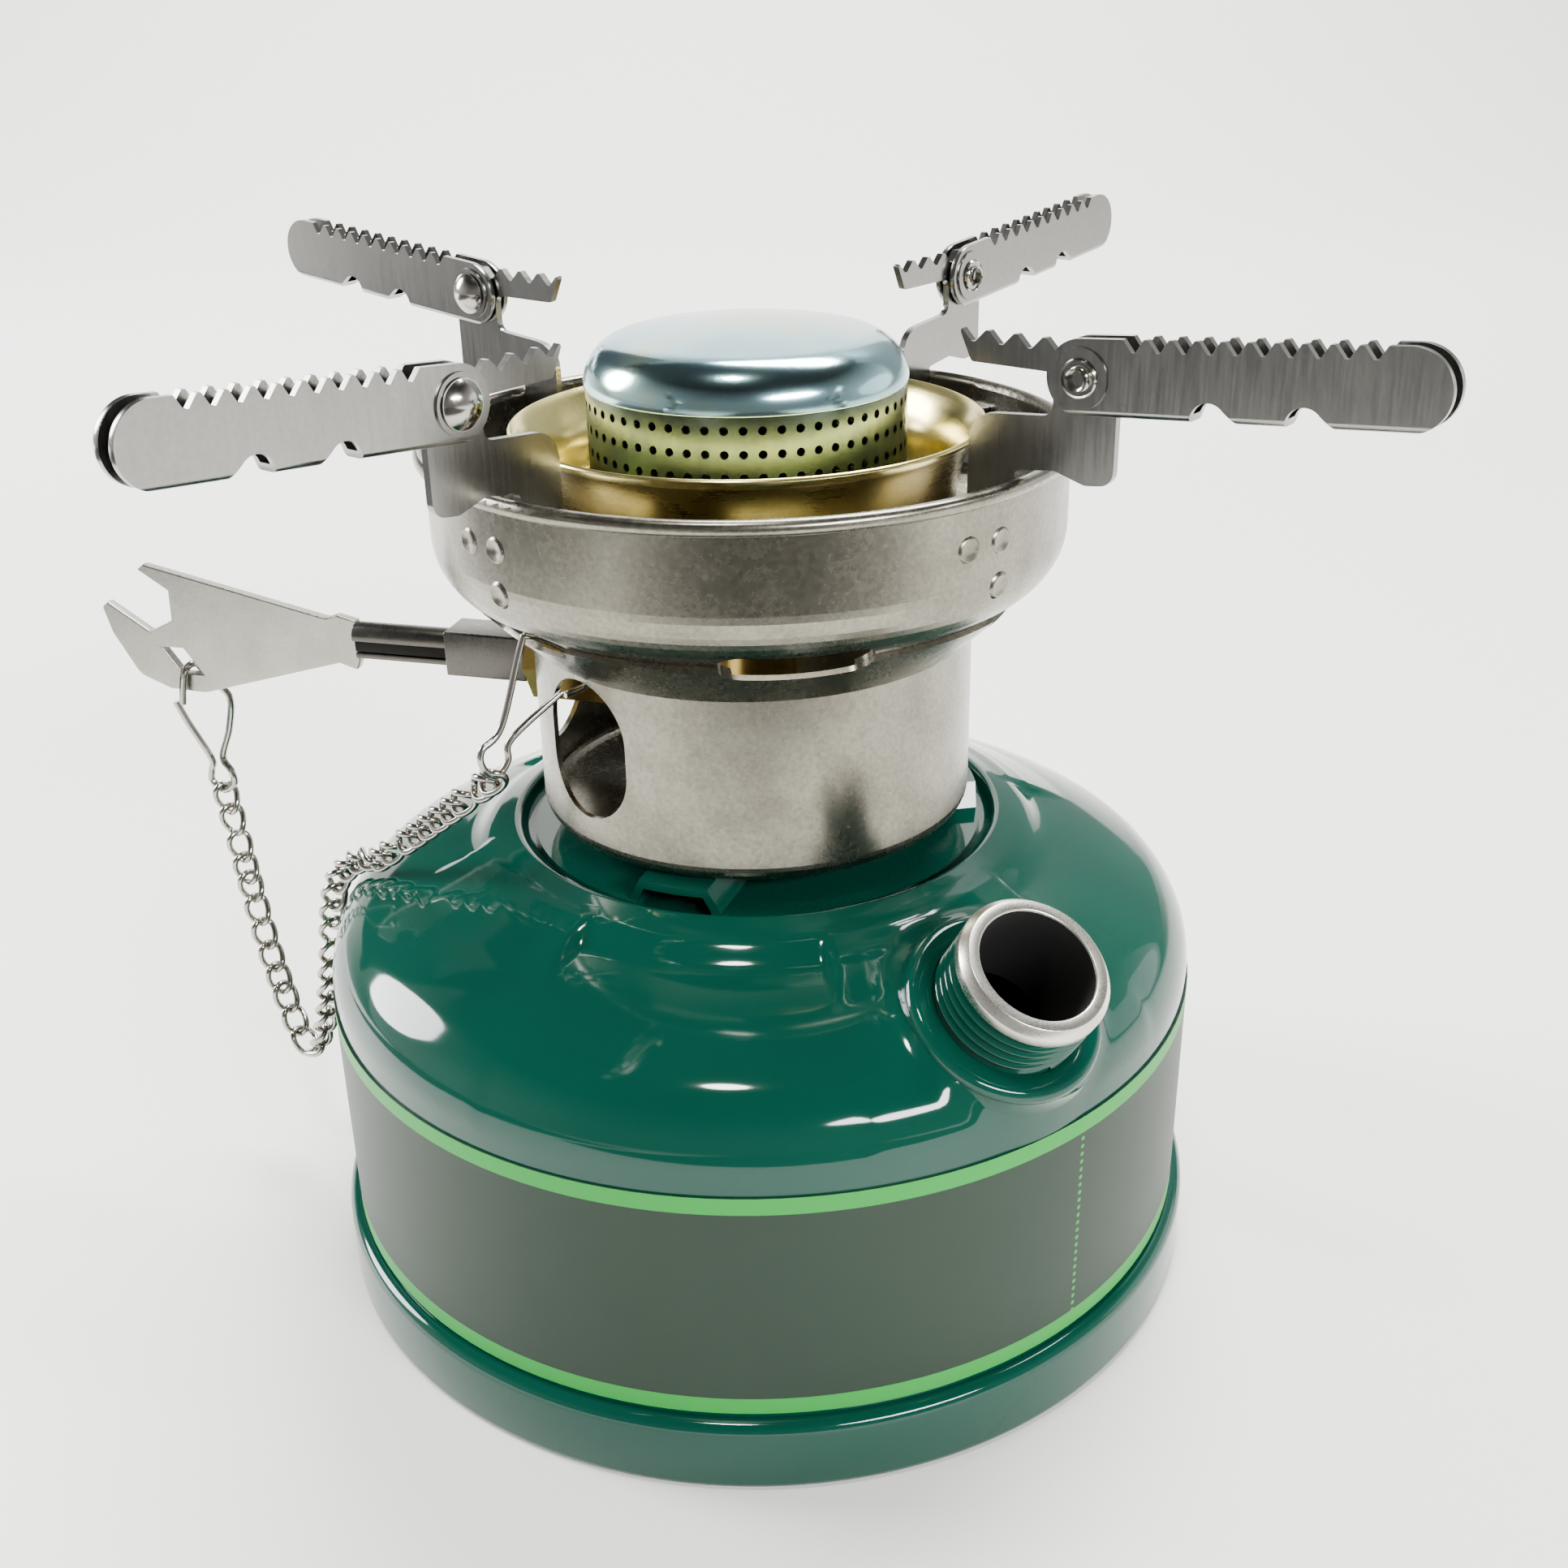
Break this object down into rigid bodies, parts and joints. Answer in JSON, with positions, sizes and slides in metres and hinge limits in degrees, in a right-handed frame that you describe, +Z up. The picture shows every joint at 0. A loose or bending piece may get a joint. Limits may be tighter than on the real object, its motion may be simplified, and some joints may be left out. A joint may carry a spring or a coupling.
{
  "type": "petrol camping stove",
  "caption": "Small petrol camping stove: round enamelled tank with a bare filler neck, drawn steel windshield, brass cup burner, folding toothed pot arms and a spindle key on a chain.",
  "frame": {"origin": "on the stove's axis, at the plane that the foot ring stands on", "axes": "+Z up along the stove's axis; the pot arms point to +X-Y, +X+Y, -X+Y and -X-Y"},
  "size_m": [0.1617, 0.1316, 0.1415],
  "materials": {
    "enamel_green": "gloss enamel",
    "label_film": "printed film, unprinted in this part",
    "bare_steel": "turned steel",
    "zinc_steel": "zinc plated",
    "fibre_seal": "fibre gasket",
    "brass": "plain brass",
    "wick_cotton": "cotton",
    "stainless": "satin stainless sheet",
    "passivated_steel": "yellow passivated sheet",
    "zinc_cap": "bluish zinc",
    "bright_wire": "nickel plated wire"
  },
  "bodies": {
    "stove": {"tank_shell": "enamel_green", "tank_base": "enamel_green", "label_band": "label_film", "filler_neck": "bare_steel", "carrier_plate": "enamel_green", "carrier_screws": "zinc_steel", "carrier_nuts": "zinc_steel", "riser_gasket": "fibre_seal", "riser_tube": "brass", "wick": "wick_cotton", "windshield_can": "stainless", "windshield_bowl": "stainless", "valve_body": "brass", "jet": "brass", "burner_stem": "brass", "burner_cup": "brass", "burner_sleeve": "passivated_steel", "burner_cap": "zinc_cap", "gland_packing": "fibre_seal", "gland_nut": "brass", "can_clip": "bright_wire", "key_chain": "bright_wire", "bracket_1": "stainless", "bracket_2": "stainless", "bracket_3": "stainless", "bracket_4": "stainless", "rivet_1": "zinc_steel", "rivet_2": "zinc_steel", "rivet_3": "zinc_steel", "rivet_4": "zinc_steel"},
    "key": {"valve_spindle": "zinc_steel", "key_shank": "zinc_steel", "key_blade": "zinc_steel", "key_clip": "bright_wire"},
    "pot_arm_1": {"arm_1": "stainless"},
    "pot_arm_2": {"arm_2": "stainless"},
    "pot_arm_3": {"arm_3": "stainless"},
    "pot_arm_4": {"arm_4": "stainless"}
  },
  "joints": [
    {"name": "arm_1_fold", "type": "hinge", "parent": "stove", "child": "pot_arm_1", "pos_m": [0.03535, -0.03535, 0.13396], "axis": [-0.7071, -0.7071, 0], "range_deg": [0, 160]},
    {"name": "arm_2_fold", "type": "hinge", "parent": "stove", "child": "pot_arm_2", "pos_m": [0.03535, 0.03535, 0.13396], "axis": [0.7071, -0.7071, 0], "range_deg": [0, 160]},
    {"name": "arm_3_fold", "type": "hinge", "parent": "stove", "child": "pot_arm_3", "pos_m": [-0.03535, 0.03535, 0.13396], "axis": [0.7071, 0.7071, 0], "range_deg": [0, 160]},
    {"name": "arm_4_fold", "type": "hinge", "parent": "stove", "child": "pot_arm_4", "pos_m": [-0.03535, -0.03535, 0.13396], "axis": [-0.7071, 0.7071, 0], "range_deg": [0, 160]},
    {"name": "key_turn", "type": "hinge", "parent": "stove", "child": "key", "pos_m": [-0.02987, 0.01147, 0.08706], "axis": [-0.9336, 0.3584, 0], "range_deg": [-90, 90], "deforming": ["key_chain"]}
  ]
}
